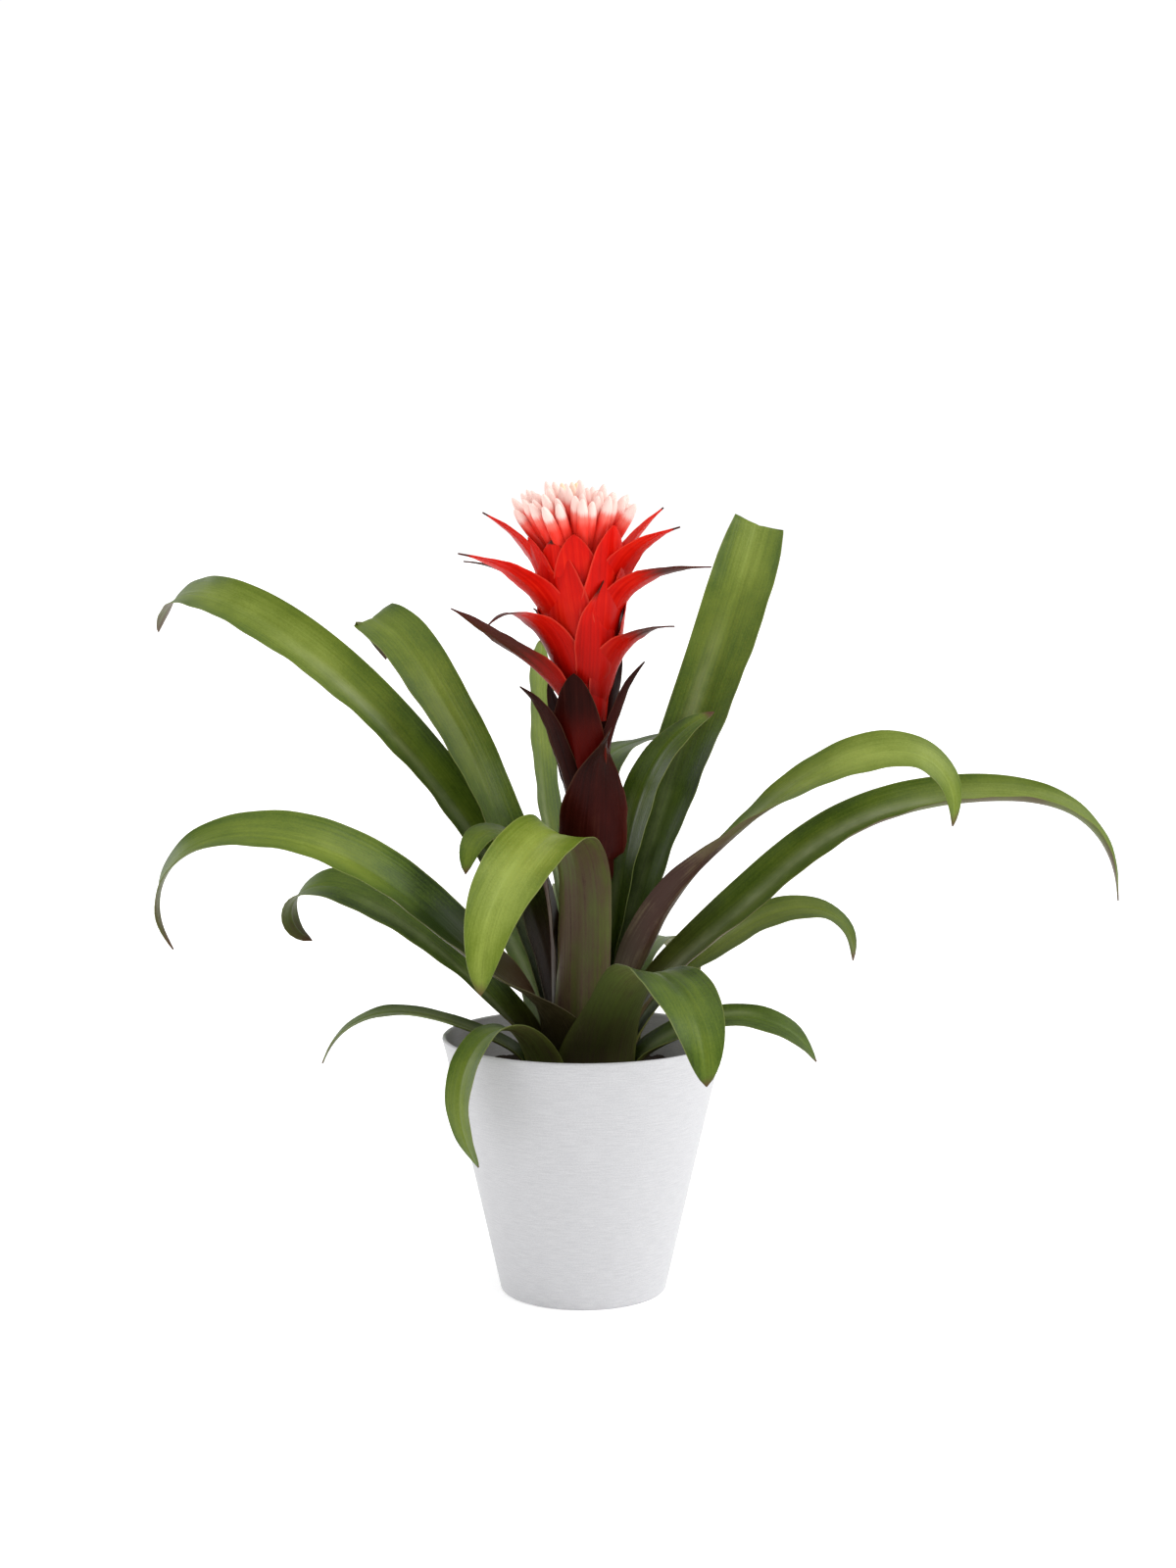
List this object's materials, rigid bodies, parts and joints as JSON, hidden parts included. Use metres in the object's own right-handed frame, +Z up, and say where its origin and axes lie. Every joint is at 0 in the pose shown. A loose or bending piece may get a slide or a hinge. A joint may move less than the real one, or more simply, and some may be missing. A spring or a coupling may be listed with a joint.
{
  "type": "potted guzmania plant",
  "caption": "Guzmania bromeliad with arching strap leaves, dark and red bracts and a head of white-tipped florets, growing in a tapered round white pot.",
  "frame": {"origin": "centre of the pot's underside, where it stands", "axes": "+Z up; -Y is the side the picture was taken from and +X is to its right"},
  "size_m": [0.505, 0.3105, 0.4016],
  "materials": {
    "pot": "matt white with fine horizontal brush lines",
    "potting_mix": "loose dark potting mix",
    "leaf": "smooth waxy leaf",
    "dark_bract": "satin maroon bract",
    "red_bract": "satin red bract",
    "floret": "waxy white-tipped floret"
  },
  "bodies": {
    "root": {"pot": "pot", "potting_mix": "potting_mix", "leaf_short_back": "leaf", "leaf_centre_back": "leaf", "leaf_pointed_right": "leaf", "leaf_tall_right": "leaf", "leaf_behind_left": "leaf", "leaf_folded_upper_left": "leaf", "leaf_arched_right": "leaf", "leaf_front_folded": "leaf", "leaf_long_upper_left": "leaf", "leaf_long_right": "leaf", "leaf_wide_left": "leaf", "leaf_low_right": "leaf", "leaf_curled_left": "leaf", "leaf_front_right": "leaf", "leaf_hanging_right": "leaf", "leaf_thin_left": "leaf", "leaf_over_rim": "leaf", "leaf_low_back": "leaf", "leaf_low_back_left": "leaf", "leaf_low_back_right": "leaf", "flower_stalk": "dark_bract", "red_head": "red_bract", "florets": "floret"}
  },
  "joints": []
}
